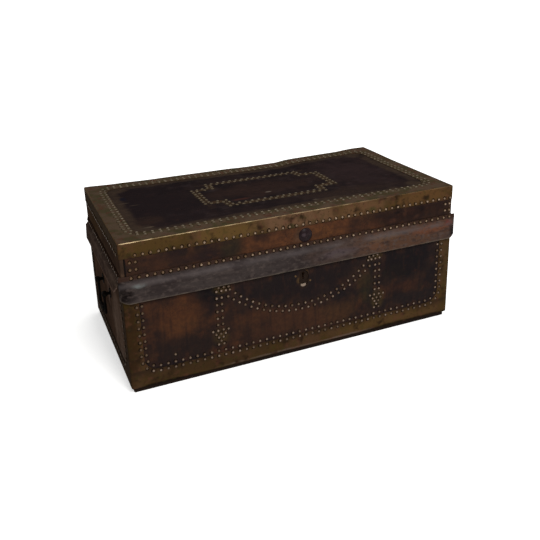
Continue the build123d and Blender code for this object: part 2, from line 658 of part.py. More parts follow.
link_width, link_thick, link_height = LINK_PLATE
arm_width, arm_thick = LINK_ARM
arm_reach = eye_y + EYE_WIDTH / 2 + inside_y
eye_top = LINK_FOOT_Z + arm_thick / 2
with BuildPart() as lock_link:
    with Locations((KEYHOLE_X + EYE_X, -inside_y + link_thick / 2, LINK_FOOT_Z + link_height / 2)):
        Box(link_width, link_thick, link_height)
    with Locations((KEYHOLE_X + EYE_X, -inside_y + arm_reach / 2, LINK_FOOT_Z + arm_thick / 2)):
        Box(arm_width, arm_reach, arm_thick)
    with Locations((KEYHOLE_X + EYE_X, eye_y, (EYE_FOOT_Z + eye_top) / 2)):
        Box(EYE_THICK, EYE_WIDTH, eye_top - EYE_FOOT_Z)
    with Locations((KEYHOLE_X + EYE_X, eye_y, BOLT_Z)):
        Box(EYE_THICK, *EYE_HOLE, mode=Mode.SUBTRACT)
save(lock_link, "lock_link")

# ---- Iron handles: eye posts in the ends, and the bails that swing in them ---------------
EYE_OFFSET = 9.0  # leg of the bail to the middle of the eye beside it
EYE_RING = 7.0
EYE_LENGTH = 8.0
STEM = 4.0
ROSETTE = 13.0
ROSETTE_THICK = 1.8
eye_hole = BAIL_ROD + EYE_CLEARANCE

for name, side in (("left_handle_posts", -1), ("right_handle_posts", 1)):
    pivot_x = side * (leather_x + BAIL_STANDOFF)
    with BuildPart() as handle_posts:
        for y in (-BAIL_HALF - EYE_OFFSET, BAIL_HALF + EYE_OFFSET):
            with Locations(Plane(origin=(side * leather_x, y, BAIL_PIVOT_Z), z_dir=(side, 0, 0))):
                Cylinder(ROSETTE, ROSETTE_THICK, align=(Align.CENTER, Align.CENTER, Align.MIN))
                Cylinder(STEM, BAIL_STANDOFF, align=(Align.CENTER, Align.CENTER, Align.MIN))
            with Locations(Plane(origin=(pivot_x, y, BAIL_PIVOT_Z), z_dir=(0, 1, 0))):
                Cylinder(EYE_RING, EYE_LENGTH)
                Cylinder(eye_hole, 2 * EYE_LENGTH, mode=Mode.SUBTRACT)
    save(handle_posts, name)

for name, side in (("left_bail", -1), ("right_bail", 1)):
    pivot_x = side * (leather_x + BAIL_STANDOFF)
    end_y = BAIL_HALF + EYE_OFFSET + BAIL_END
    grip_z = BAIL_PIVOT_Z - BAIL_DROP
    with BuildPart() as bail:
        with BuildLine() as bail_path:
            FilletPolyline(
                (pivot_x, -end_y, BAIL_PIVOT_Z),
                (pivot_x, -BAIL_HALF, BAIL_PIVOT_Z),
                (pivot_x, -BAIL_HALF, grip_z),
                (pivot_x, BAIL_HALF, grip_z),
                (pivot_x, BAIL_HALF, BAIL_PIVOT_Z),
                (pivot_x, end_y, BAIL_PIVOT_Z),
                radius=BAIL_BEND,
            )
        with BuildSketch(Plane(origin=bail_path.line @ 0, z_dir=bail_path.line % 0)):
            Circle(BAIL_ROD)
        sweep()
        with Locations(Plane(origin=(pivot_x, 0, grip_z), z_dir=(0, 1, 0))):
            Cylinder(BAIL_ROD + GRIP_SWELL, BAIL_HALF)
    save(bail, name)

# ---- Hinges: two brass butts on the back, axis on the joint ------------------------------
LEAF_CORNER = 4.0
LEAF_SCREWS_Z = 26.4  # from the joint
LEAF_SCREWS = [(-23.0, -6.0), (0.0, 6.0), (23.0, -6.0)]
knuckle_length = HINGE_WIDTH / KNUCKLES
notch = KNUCKLE_RADIUS + KNUCKLE_NOTCH


def hinge_leaf(centre_x, upward):
    """One leaf with its own knuckles; the lower leaf has the outer ones."""
    own = [i for i in range(KNUCKLES) if (i % 2 == 0) != upward]
    rise = 1 if upward else -1
    leaf_y = leather_y + LEAF_THICK / 2
    with BuildPart() as leaf:
        with Locations((centre_x, leaf_y, JOINT_Z + rise * LEAF_HEIGHT / 2)):
            Box(HINGE_WIDTH, LEAF_THICK, LEAF_HEIGHT)
        far_edges = leaf.edges().filter_by(Axis.Y).sort_by(Axis.Z, reverse=upward)[:2]
        fillet(far_edges, LEAF_CORNER)
        for i in range(KNUCKLES):
            knuckle_x = centre_x + (i - (KNUCKLES - 1) / 2) * knuckle_length
            if i in own:
                with Locations(Plane(origin=(knuckle_x, hinge_y, JOINT_Z), z_dir=(1, 0, 0))):
                    Cylinder(KNUCKLE_RADIUS, knuckle_length - KNUCKLE_GAP)
            else:
                with Locations((knuckle_x, leaf_y, JOINT_Z)):
                    Box(knuckle_length + KNUCKLE_GAP, 4 * LEAF_THICK, 2 * notch, mode=Mode.SUBTRACT)
        with Locations(Plane(origin=(centre_x, hinge_y, JOINT_Z), z_dir=(1, 0, 0))):
            Cylinder(HINGE_PIN + PIN_CLEARANCE, 2 * HINGE_WIDTH, mode=Mode.SUBTRACT)
    return leaf


for name, centre_x in (("left", -HINGE_X), ("right", HINGE_X)):
    save(hinge_leaf(centre_x, upward=False), f"lower_hinge_leaf_{name}")
    save(hinge_leaf(centre_x, upward=True), f"upper_hinge_leaf_{name}")

with BuildPart() as hinge_pins:
    for centre_x in (-HINGE_X, HINGE_X):
        with Locations(Plane(origin=(centre_x, hinge_y, JOINT_Z), z_dir=(1, 0, 0))):
            Cylinder(HINGE_PIN, HINGE_WIDTH + PIN_HEAD)
        for side in (-1, 1):
            end_x = centre_x + side * HINGE_WIDTH / 2
            with Locations(Plane(origin=(end_x, hinge_y, JOINT_Z), z_dir=(side, 0, 0))):
                Cylinder(HINGE_PIN + 1, PIN_HEAD, align=(Align.CENTER, Align.CENTER, Align.MIN))
save(hinge_pins, "hinge_pins")

for name, rise in (("hinge_screws_body", -1), ("hinge_screws_lid", 1)):
    with BuildPart() as hinge_screws:
        for centre_x in (-HINGE_X, HINGE_X):
            place = Plane(
                origin=(centre_x, leather_y + LEAF_THICK, JOINT_Z + rise * LEAF_SCREWS_Z),
                x_dir=(-1, 0, 0),
                z_dir=(0, 1, 0),
            )
            with Locations(place):
                with Locations(*[(x, rise * z) for x, z in LEAF_SCREWS]):
                    Cone(*SCREW_HEAD, align=(Align.CENTER, Align.CENTER, Align.MIN))
    save(hinge_screws, name)
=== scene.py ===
import math
import random

import bmesh
import bpy
from mathutils import Matrix, Vector, noise


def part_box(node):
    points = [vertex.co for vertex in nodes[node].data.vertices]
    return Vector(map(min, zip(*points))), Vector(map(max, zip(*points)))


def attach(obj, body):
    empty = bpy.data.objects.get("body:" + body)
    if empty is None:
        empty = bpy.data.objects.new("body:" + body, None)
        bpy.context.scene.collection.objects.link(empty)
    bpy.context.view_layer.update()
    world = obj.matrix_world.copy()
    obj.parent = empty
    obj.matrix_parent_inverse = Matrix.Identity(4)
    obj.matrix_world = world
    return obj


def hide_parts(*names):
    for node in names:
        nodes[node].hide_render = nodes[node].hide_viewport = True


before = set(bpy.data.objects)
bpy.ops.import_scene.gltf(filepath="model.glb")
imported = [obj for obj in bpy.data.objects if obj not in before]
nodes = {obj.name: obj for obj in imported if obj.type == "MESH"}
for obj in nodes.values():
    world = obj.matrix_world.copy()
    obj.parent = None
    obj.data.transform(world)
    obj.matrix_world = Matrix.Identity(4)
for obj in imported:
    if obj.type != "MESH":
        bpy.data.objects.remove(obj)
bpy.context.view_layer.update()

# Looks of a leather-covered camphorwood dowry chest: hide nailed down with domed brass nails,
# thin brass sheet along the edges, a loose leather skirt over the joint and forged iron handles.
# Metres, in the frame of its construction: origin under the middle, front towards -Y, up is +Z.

MM = 0.001
SAME_POINT = 1e-6  # points nearer together than this are one

# ---- Places worked out from the frame -----------------------------------------------------
half_d = -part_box("bottom_band_front")[0].y
half_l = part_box("bottom_band_right")[1].x
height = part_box("lid_band_front")[1].z
brass = half_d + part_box("leather_front")[0].y  # how far the brass stands out past the leather
front_low, front_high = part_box("flap_front")
left_low, left_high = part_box("flap_left")
boss_low, boss_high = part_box("boss")

# ---- Camera, light and floor ---------------------------------------------------------------
VIEW_AZIMUTH = math.radians(-21.60)
VIEW_ELEVATION = math.radians(18.504)
VIEW_ROLL = math.radians(-2.083)
VIEW_TARGET = Vector((0.1020, 0.3385, 0.2425))
VIEW_DISTANCE = 2.230
VIEW_LENS = 45.27  # mm
SENSOR_WIDTH = 36  # mm
VIEW_SHIFT = (16.5 / 540, -74.0 / 540)  # the frame moved right and up, in parts of its width
KEY_PLACE, KEY_SIZE, KEY_WATTS = (0.1, -2.2, 2.3), 1.1, 62
TOP_PLACE, TOP_SIZE, TOP_WATTS = (0.2, 0.5, 2.6), 1.6, 26
LAMP_AIM = Vector((0, 0, 0.2))
WORLD_LIGHT = 0.3
FLOOR_SIZE = 30
FLOOR_GLOW = (0.7, 2.2, 0.55)  # metres where it starts and is full, and its strength at the chest


def make_camera():
    """Camera at the viewing angle, slightly rolled."""
    flat = math.cos(VIEW_ELEVATION)
    back = Vector(
        (math.sin(VIEW_AZIMUTH) * flat, -math.cos(VIEW_AZIMUTH) * flat, math.sin(VIEW_ELEVATION))
    )
    right = (-back).cross(Vector((0, 0, 1))).normalized()
    up = back.cross(right)
    rolled_right = math.cos(VIEW_ROLL) * right + math.sin(VIEW_ROLL) * up
    rolled_up = math.cos(VIEW_ROLL) * up - math.sin(VIEW_ROLL) * right
    data = bpy.data.cameras.new("view")
    data.sensor_width = SENSOR_WIDTH
    data.lens = VIEW_LENS
    data.shift_x, data.shift_y = VIEW_SHIFT
    camera = bpy.data.objects.new("view", data)
    turn = Matrix((rolled_right, rolled_up, back)).transposed().to_4x4()
    camera.matrix_world = Matrix.Translation(VIEW_TARGET + back * VIEW_DISTANCE) @ turn
    bpy.context.scene.collection.objects.link(camera)
    bpy.context.scene.camera = camera


def make_lamp(name, place, size, watts):
    """Square soft lamp that looks at the middle of the chest."""
    data = bpy.data.lights.new(name, "AREA")
    data.size = size
    data.energy = watts
    lamp = bpy.data.objects.new(name, data)
    place = Vector(place)
    turn = (LAMP_AIM - place).to_track_quat("-Z", "Y").to_matrix().to_4x4()
    lamp.matrix_world = Matrix.Translation(place) @ turn
    bpy.context.scene.collection.objects.link(lamp)


# ---- Materials -----------------------------------------------------------------------------
def hex_colour(code):
    """An sRGB hex value as linear RGBA."""
    parts = [int(code[i : i + 2], 16) / 255 for i in (1, 3, 5)]
    linear = [c / 12.92 if c <= 0.04045 else ((c + 0.055) / 1.055) ** 2.4 for c in parts]
    return (*linear, 1.0)


def add(tree, kind, inputs=None, **settings):
    """Adds a node with its settings, and its sockets' links, hex colours or values."""
    made = tree.nodes.new("ShaderNode" + kind)
    for name, value in settings.items():
        setattr(made, name, value)
    for socket, value in (inputs or {}).items():
        if isinstance(value, bpy.types.Node):
            value = value.outputs[0]
        if isinstance(value, bpy.types.NodeSocket):
            tree.links.new(value, made.inputs[socket])
        elif isinstance(value, str):
            made.inputs[socket].default_value = hex_colour(value)
        else:
            made.inputs[socket].default_value = value
    return made


def empty_tree(owner):
    """The emptied node tree of a new material or world."""
    owner.use_nodes = True
    owner.node_tree.nodes.clear()
    return owner.node_tree


def start(name):
    """A new material, its node tree, and its object coordinates in millimetres."""
    material = bpy.data.materials.new(name)
    tree = empty_tree(material)
    place = add(tree, "TexCoord").outputs["Object"]
    mm = add(tree, "VectorMath", {0: place, "Scale": 1 / MM}, operation="SCALE")
    return material, tree, mm


def coat(tree, finish):
    """Ends a material with its shader, whose sockets are linked or set."""
    shader = add(tree, "BsdfPrincipled", finish)
    add(tree, "OutputMaterial", {"Surface": shader})


def mottle(tree, mm, size, low=0.35, high=0.65, stretch=(1, 1, 1), detail=4.0, seed=0.0):
    """Irregular cloudy spots about size millimetres across, from 0 to 1."""
    scale = [1 / (size * s) for s in stretch]
    place = add(tree, "Mapping", {"Vector": mm, "Location": (seed, seed * 0.7, -seed), "Scale": scale})
    cloud = add(tree, "TexNoise", {"Vector": place, "Scale": 1.0, "Detail": detail})
    limits = {"Value": cloud, "From Min": low, "From Max": high}
    return add(tree, "MapRange", limits, interpolation_type="SMOOTHSTEP")


def lay(tree, below, above, *masks):
    """Colour above laid over colour below, as far as all of the masks let it."""
    amount = masks[0]
    for mask in masks[1:]:
        amount = add(tree, "Math", {0: amount, 1: mask}, operation="MULTIPLY")
    return add(tree, "MixRGB", {"Fac": amount, "Color1": below, "Color2": above})


SPOT_WAVES = 42.0  # mm, size of the unevenness of a spot's edge


def lay_spots(tree, mm, colour, marks, plane=(0, 2)):
    """Soft ragged spots in a plane of two axes: centre, half sizes, colour and strength."""
    ragged = mottle(tree, mm, SPOT_WAVES, 0.2, 0.8, seed=1.7)
    for across, along, wide, tall, code, strength in marks:
        centre = [0.0, 0.0, 0.0]
        scale = [0.0, 0.0, 0.0]
        for axis, middle, half in zip(plane, (across, along), (wide, tall)):
            centre[axis] = -middle / half
            scale[axis] = 1 / half
        centred = add(tree, "Mapping", {"Vector": mm, "Location": centre, "Scale": scale})
        reach = add(tree, "VectorMath", {0: centred}, operation="LENGTH").outputs["Value"]
        uneven = add(tree, "Math", {0: ragged, 1: 0.7, 2: reach}, operation="MULTIPLY_ADD")
        limits = {"Value": uneven, "From Min": 1.6, "From Max": 0.7, "To Max": strength}
        spot = add(tree, "MapRange", limits, interpolation_type="SMOOTHSTEP")
        colour = lay(tree, colour, code, spot)
    return colour


def mirrored(spots, code, strength):
    """Stains that lie alike on both sides of each middle line, from one corner's spots."""
    return [
        (across * left, along * near, wide, tall, code, strength)
        for across, along, wide, tall in spots
        for left in ((-1, 1) if across else (1,))
        for near in ((-1, 1) if along else (1,))
    ]


# Hide: calf or goat, tanned and lacquered almost black, dry and rubbed through to red-brown.
# The eye sees cloudy browns, streaks where it was wiped down, fine cracks and a dull sheen.
# Its pores and cracks are finer than can show here, so they are drawn at 2.5 and 8 mm.
HIDE_GRAIN = 2.5
HIDE_CRACKS = 8.0
UPRIGHT = (0.55, 0.55, 6.0)  # how far the wiped streaks are drawn out along X, Y and Z
LENGTHWISE = (2.4, 1.0, 0.9)
HIDE_SPOTS = ((15.0, "#42271e", 21.0), (12.0, "#26251a", 24.0))  # ruddy and mossy: mm, colour, seed


def hide(name, ground, marks, plane=(0, 2), wear=0.42, wiped_way=UPRIGHT, gloss=0.015):
    """Nailed hide: a ground of three browns, stains laid over it, streaks and cracks."""
    material, tree, mm = start(name)
    dark, middle, warm = ground
    fine = mottle(tree, mm, 9.0, 0.3, 0.7, seed=5.2)
    colour = lay(tree, dark, middle, mottle(tree, mm, 75.0, 0.36, 0.62))
    colour = lay(tree, colour, warm, mottle(tree, mm, 38.0, 0.5, 0.75, seed=9.0))
    colour = lay_spots(tree, mm, colour, marks, plane)
    for size, code, spot_seed in HIDE_SPOTS:
        colour = lay(tree, colour, code, mottle(tree, mm, size, 0.52, 0.72, seed=spot_seed), wear**2)
    colour = lay(tree, colour, dark, mottle(tree, mm, 16.0, 0.42, 0.72, wiped_way, seed=2.3), wear)
    rubbed = mottle(tree, mm, 12.0, 0.55, 0.8, wiped_way, seed=7.7)
    colour = lay(tree, colour, warm, rubbed, wear * 0.5)
    colour = lay(tree, colour, dark, fine, 0.3)
    cells = {"Vector": mm, "Scale": 1 / HIDE_CRACKS, "Randomness": 1.0}
    gaps = add(tree, "TexVoronoi", cells, feature="DISTANCE_TO_EDGE")
    open_gap = add(tree, "MapRange", {"Value": gaps, "From Min": 0.07, "From Max": 0.0})
    dry = mottle(tree, mm, 60.0, 0.45, 0.65, seed=11.0)
    crack = add(tree, "Math", {0: open_gap, 1: dry}, operation="MULTIPLY")
    colour = lay(tree, colour, dark, crack, 0.5)
    colour = lay(tree, colour, warm, mottle(tree, mm, 5.0, 0.66, 0.78, (5, 1, 1), seed=13.0), 0.3)
    pebbles = add(tree, "TexVoronoi", {"Vector": mm, "Scale": 1 / HIDE_GRAIN, "Randomness": 0.9})
    folds = mottle(tree, mm, 24.0, 0.2, 0.8, seed=3.1)
    relief = add(tree, "Math", {0: folds, 1: 2.0, 2: pebbles}, operation="MULTIPLY_ADD")
    relief = add(tree, "Math", {0: crack, 1: -1.0, 2: relief}, operation="MULTIPLY_ADD")
    bump = add(tree, "Bump", {"Strength": 0.4, "Distance": 0.3 * MM, "Height": relief})
    rough = add(tree, "MapRange", {"Value": fine, "To Min": 0.42, "To Max": 0.68})
    finish = {"Base Color": colour, "Roughness": rough, "Specular IOR Level": gloss, "Normal": bump}
    coat(tree, finish)
    return material


# Stains: middle and half sizes in millimetres, colour and strength. On the front and the lid they
# are placed along X and up, on the top along X and Y, and on the ends along Y and up.
FRONT_STAINS = [
    (-318, 182, 92, 62, "#4a2d1c", 0.9),
    (-300, 150, 80, 26, "#4a2e1d", 0.7),
    (-244, 218, 46, 34, "#141112", 0.95),
    (-305, 92, 100, 34, "#251c19", 0.95),
    (0, 200, 172, 54, "#1c1616", 0.95),
    (-120, 132, 70, 28, "#41291c", 0.8),
    (-20, 92, 180, 42, "#40291d", 0.85),
    (110, 96, 70, 40, "#3f2b1d", 0.7),
    (182, 150, 26, 58, "#2a2519", 0.7),
    (322, 196, 105, 62, "#151214", 0.97),
    (262, 212, 36, 54, "#171314", 0.95),
    (270, 168, 40, 26, "#1a1514", 0.9),
    (-72, 206, 92, 34, "#1d1717", 0.8),
    (308, 124, 66, 22, "#34211a", 0.85),
    (330, 84, 100, 22, "#1f1a1a", 0.9),
    (-222, 102, 22, 26, "#4a3a1e", 0.75),
    (-214, 228, 26, 12, "#46361d", 0.7),
    (219, 102, 22, 26, "#43361d", 0.7),
    (212, 228, 26, 12, "#4a3a1f", 0.7),
    (6, 213, 18, 25, "#3a291b", 0.85),
    (14, 222, 8, 12, "#5b4227", 0.9),
    (-10, 205, 6, 9, "#4e3a24", 0.8),
]
LID_STAINS = [
    (20, 326, 180, 44, "#553420", 0.9),
    (60, 322, 60, 20, "#57361f", 0.6),
    (-186, 328, 30, 26, "#29241a", 0.8),
    (-258, 320, 60, 16, "#241a19", 0.9),
    (-360, 326, 70, 40, "#32211a", 0.7),
    (212, 318, 56, 14, "#472b1e", 0.6),
    (310, 328, 132, 34, "#241713", 0.95),
    (262, 318, 15, 9, "#442a1f", 0.6),
    (300, 334, 9, 14, "#3a251b", 0.7),
    (338, 318, 12, 7, "#3f2a20", 0.6),
    (352, 336, 10, 9, "#100b0b", 0.7),
    (386, 326, 12, 13, "#2c1c16", 0.6),
    (412, 318, 9, 8, "#35231a", 0.6),
    (276, 338, 12, 6, "#130e0d", 0.7),
    (-438, 322, 3, 60, "#0d0909", 1.0),
    (0, 322, 26, 24, "#4d3a2c", 0.7),
]
TOP_FIELDS = [
    (-300, 0, 130, 190, "#1c1617", 0.9),
    (0, 0, 170, 60, "#2b1f1b", 0.8),
    (280, 20, 120, 150, "#2a2020", 0.8),
    (180, -140, 150, 40, "#2c221d", 0.7),
]
TOP_RIM = [(392, 0, 20, 200), (0, 172, 420, 14), (372, 160, 26, 23)]
UNDER_CARTOUCHE = [(0, 96, 150, 11), (183, 0, 12, 66), (158, 57, 32, 10), (133, 78, 11, 24)]
TOP_MARKS = [
    (-6, -42, 9, 4, "#5a5048", 0.9),
    (76, -157, 10, 4, "#4d4238", 0.8),
    (-378, 44, 16, 3, "#44392f", 0.9),
    (-356, 18, 14, 3, "#3d332b", 0.8),
    (-360, -154, 14, 4, "#4a4035", 0.9),
    (-372, 78, 9, 16, "#15151d", 0.9),
    (-345, -110, 40, 40, "#2d211b", 0.6),
    (-97, -64, 30, 9, "#412620", 0.7),
]
TOP_STAINS = TOP_FIELDS + mirrored(TOP_RIM, "#372c23", 0.8)
TOP_STAINS += mirrored(UNDER_CARTOUCHE, "#3b2d1f", 0.85) + TOP_MARKS
END_STAINS = [
    (-120, 140, 80, 110, "#5f4e44", 0.8),
    (-200, 190, 14, 40, "#6e5b50", 0.7),
    (-90, 110, 20, 50, "#6a584c", 0.6),
    (-150, 60, 40, 20, "#62544b", 0.6),
    (-20, 170, 16, 60, "#66534a", 0.6),
    (-150, 326, 90, 26, "#2f241e", 0.6),
    (90, 326, 110, 26, "#42321f", 0.6),
]
front_browns = ("#1b1617", "#2c1f1a", "#442a1c")
lid_browns = ("#1e1717", "#342319", "#4b2e1d")
end_browns = ("#34271f", "#443329", "#503d30")
top_browns = ("#191415", "#221a19", "#2b2323")
front_hide = hide("lacquered hide of the front", front_browns, FRONT_STAINS)
lid_hide = hide("lacquered hide of the lid", lid_browns, LID_STAINS, wiped_way=LENGTHWISE)
end_hide = hide("lacquered hide of the ends", end_browns, END_STAINS, plane=(1, 2), gloss=0.0)
top_hide = hide(
    "lacquered hide of the top",
    top_browns,
    TOP_STAINS,
    plane=(0, 1),
    wear=0.3,
    wiped_way=(4, 0.5, 1),
    gloss=0.0,
)


def inset(tree, mm):
    """How far a point lies in from the nearest upright face of the chest, in millimetres."""
    across, deep, _ = add(tree, "SeparateXYZ", {0: mm}).outputs
    ways_in = []
    for place, half in ((across, half_l), (deep, half_d)):
        off = add(tree, "Math", {0: place}, operation="ABSOLUTE")
        ways_in.append(add(tree, "Math", {0: half / MM, 1: off}, operation="SUBTRACT"))
    return add(tree, "Math", {0: ways_in[0], 1: ways_in[1]}, operation="MINIMUM")


# Sheet brass, rolled thin and hammered down. Its tarnish is a dull brown skin, so most of it no
# longer shines: the eye sees olive, golden and coppery clouds, darker where it meets the hide, and
# a pale line along the fold over the lid's front, rubbed bare and given a painted highlight. Its
# scratches are finer than can show here, so they are drawn 4 mm wide.
SCRATCH_WIDE = 4.0
BRASS_SPOTS = ((16.0, "#56352a", 21.0), (13.0, "#333117", 24.0))  # coppery and green: mm, colour, seed
BRASS_EDGE_DARK = "#2b2017"
BARE_FOLD_HIGHLIGHT = "#ad9874"


def dull_faces(tree, mm, colour):
    """Colour with painted shade on the ends, and a brown skin of tarnish on top of the lid."""
    facing = add(tree, "SeparateXYZ", {0: add(tree, "TexCoord").outputs["Normal"]}).outputs
    endways = add(tree, "Math", {0: facing[0]}, operation="ABSOLUTE")
    skin = lay(tree, "#40342a", "#312d1e", mottle(tree, mm, 38.0, 0.42, 0.6, seed=30.0))
    skin = lay(tree, skin, "#3d281f", mottle(tree, mm, 17.0, 0.5, 0.7, seed=33.0))
    # The ends' near-black is painted shade; the top's brown is its skin of tarnish.
    for way, code, share in ((endways, "#241b13", 0.7), (facing[2], skin, 0.85)):
        turned = add(tree, "MapRange", {"Value": way, "From Min": 0.8, "From Max": 0.98})
        colour = lay(tree, colour, code, turned, share)
    return colour


def darkened_edges(tree, mm, colour):
    """Colour darkened along the sheet's edges, each between two limits in millimetres."""
    up = add(tree, "SeparateXYZ", {0: mm}).outputs[2]
    top = add(tree, "Math", {0: height / MM, 1: up}, operation="SUBTRACT")
    patchy = mottle(tree, mm, 34.0, 0.2, 0.6, seed=12.0)
    on_top = ((inset(tree, mm), 40.0, 50.0), (top, 9.0, 8.0))
    over_foot = ((up, 36.0, 53.0), (up, 60.0, 57.0))
    under_lid = ((up, 360.0, 349.0), (up, 300.0, 340.0))
    for limits, share in ((on_top, 0.8), (over_foot, 0.75), (under_lid, 0.5)):
        near = [
            add(tree, "MapRange", {"Value": value, "From Min": none, "From Max": full})
            for value, none, full in limits
        ]
        colour = lay(tree, colour, BRASS_EDGE_DARK, *near, patchy, share)
    return colour


def rubbed_folds(tree, mm, colour):
    """Colour with its folds rubbed and a painted highlight on the fold over the lid's front, and how bare
    that fold is.
    """
    across, deep, up = add(tree, "SeparateXYZ", {0: mm}).outputs
    off_middle = add(tree, "Math", {0: across}, operation="ABSOLUTE")
    ends = add(tree, "Math", {0: half_l / MM, 1: off_middle}, operation="SUBTRACT")
    front = add(tree, "Math", {0: half_d / MM, 1: deep}, operation="ADD")
    top = add(tree, "Math", {0: height / MM, 1: up}, operation="SUBTRACT")
    wobble = mottle(tree, mm, 30.0, 0.2, 0.8, seed=6.1)
    # The painted highlight on the front fold fades from left to right.
    fading = {"Value": across, "From Min": -50.0, "From Max": 240.0, "To Min": 1.0, "To Max": 0.12}
    bright = add(tree, "MapRange", fading)
    for first, second, code, strength in (
        (ends, front, "#5c4932", 0.4),
        (ends, top, "#4c3f30", 0.6),
        (front, top, BARE_FOLD_HIGHLIGHT, bright),
    ):
        both = add(tree, "Math", {0: first, 1: second}, operation="ADD")
        uneven = add(tree, "Math", {0: wobble, 1: 0.6, 2: both}, operation="MULTIPLY_ADD")
        fold = add(tree, "MapRange", {"Value": uneven, "From Min": 2.4, "From Max": 1.8})
        colour = lay(tree, colour, code, fold, strength)
    return colour, fold


def sheet_brass(name, golden, coppery, tarnish, marks=(), metallic=0.03):
    """Brass edging with cloudy tarnish, dirty along the hide and rubbed along its folds."""
    material, tree, mm = start(name)
    colour = lay(tree, golden, coppery, mottle(tree, mm, 60.0, 0.38, 0.62))
    colour = lay_spots(tree, mm, colour, marks)
    colour = lay(tree, colour, tarnish, mottle(tree, mm, 24.0, 0.5, 0.72, seed=4.4))
    for size, code, spot_seed in BRASS_SPOTS:
        colour = lay(tree, colour, code, mottle(tree, mm, size, 0.52, 0.72, seed=spot_seed), 0.4)
    specks = mottle(tree, mm, 6.0, 0.6, 0.72, seed=8.3)
    colour = lay(tree, colour, tarnish, specks, 0.6)
    colour = dull_faces(tree, mm, colour)
    colour = darkened_edges(tree, mm, colour)
    colour, bare = rubbed_folds(tree, mm, colour)
    shine = add(tree, "Math", {0: bare, 1: 0.25, 2: metallic}, operation="MULTIPLY_ADD")
    dents = mottle(tree, mm, 26.0, 0.2, 0.8, seed=2.2)
    scratches = mottle(tree, mm, SCRATCH_WIDE, 0.3, 0.7, (6, 6, 1), seed=3.3)
    relief = add(tree, "Math", {0: scratches, 1: 0.15, 2: dents}, operation="MULTIPLY_ADD")
    bump = add(tree, "Bump", {"Strength": 0.5, "Distance": 0.9 * MM, "Height": relief})
    rough = add(tree, "MapRange", {"Value": specks, "To Min": 0.42, "To Max": 0.62})
    finish = {"Base Color": colour, "Roughness": rough, "Metallic": shine, "Normal": bump}
    finish["Specular IOR Level"] = 0.0
    coat(tree, finish)
    return material


EDGE_STAINS_AND_LIGHT = [
    (-390, 368, 130, 30, "#46341b", 0.9),
    (-190, 368, 100, 30, "#574224", 0.8),
    (-20, 368, 110, 30, "#5f4633", 0.85),
    (170, 368, 90, 30, "#5a412c", 0.8),
    (360, 368, 120, 30, "#543b23", 0.8),
    (-250, 34, 200, 26, "#3a2a1b", 0.8),
    (250, 34, 200, 26, "#4e3a22", 0.8),
    (-446, 170, 34, 150, "#2f2012", 0.88),
    (-440, 60, 20, 26, "#2b1c12", 0.6),
    (-446, 236, 14, 30, "#3c2f16", 0.6),
    (446, 170, 34, 150, "#3d2f1c", 0.85),
    # This, the next and the fifth darken the sheet's lowest edge.
    (-340, 13, 110, 6, "#17110e", 0.9),
    (320, 14, 170, 7, "#15100d", 0.9),
    # These two are a painted highlight on the rounded lower fold, where it faces the floor's light.
    (-90, 18, 170, 3, "#594c43", 0.6),
    (110, 18, 90, 3, "#5f5048", 0.6),
    (-20, 12, 230, 4, "#191310", 0.9),
    (-30, 352, 12, 9, "#2c3018", 0.7),
    (200, 360, 14, 10, "#2f3119", 0.6),
    (96, 372, 10, 12, "#3a2c1c", 0.6),
]
edge_brass = sheet_brass("tarnished sheet brass", "#403019", "#473323", "#2a1e14", EDGE_STAINS_AND_LIGHT)
# The hinges are yellower than the edges, and what is left of the keyhole's plate is the palest.
hinge_brass = sheet_brass("tarnished hinge brass", "#54452a", "#5a4630", "#2e2518")
bright_brass = sheet_brass("broken brass of the plate", "#75675a", "#857567", "#4b3d2e", metallic=0.05)


# Cast brass nail heads. The eye sees polish left only on the crown, more or less of it from nail
# to nail, and black round the foot: dirt packed there, and painted shade round the dome.
def nail_brass(name, crown_code, dull_code, side_code, foot_code, metallic):
    """Nail heads coloured by how high up the dome a point is."""
    material, tree, _ = start(name)
    crown = add(tree, "Attribute", attribute_name="crown").outputs["Fac"]
    tint = add(tree, "Attribute", attribute_name="tint").outputs["Fac"]
    polish = lay(tree, crown_code, dull_code, tint)
    off_foot = add(tree, "MapRange", {"Value": crown, "From Min": 0.1, "From Max": 0.3})
    colour = lay(tree, foot_code, side_code, off_foot)
    rubbed = add(tree, "MapRange", {"Value": crown, "From Min": 0.62, "From Max": 0.95})
    colour = lay(tree, colour, polish, rubbed)
    bare = {"Value": crown, "From Min": 0.3, "From Max": 0.7, "To Max": metallic}
    metal = add(tree, "MapRange", bare)
    finish = {"Base Color": colour, "Roughness": 0.36, "Metallic": metal, "Specular IOR Level": 0.0}
    coat(tree, finish)
    return material


# The near-black foot on the lid's and chest's nails is dirt and painted shade.
lid_nails = nail_brass("domed brass nails of the lid", "#8e7a68", "#5c4a3a", "#38291a", "#120d0b", 0.7)
chest_nails = nail_brass("domed brass nails of the chest", "#7b6a5e", "#544539", "#33261a", "#110c0b", 0.6)
# The top's nails are another copy of the finish, their sides and foot painted lighter and their shine
# lowered for domes seen edge-on.
top_nails = nail_brass("domed brass nails of the top", "#6b6254", "#473f33", "#4c4234", "#392f22", 0.2)

# Camphorwood: boards of brown heartwood, planed by hand and never finished inside. The eye sees
# straight grain, darker where hands and dust have been, and no shine. Its growth rings are some
# 4 mm wide; its pores are finer than can show here, so they are drawn 1.5 mm wide.
RING_WIDE = 4.0
PORE_WIDE = 1.5
DARKENED_DEPTH = 7.6  # mm in from the outside, as deep as the wood is darkened near black
DARKENED_UNDER = 1.6  # mm up from the floor


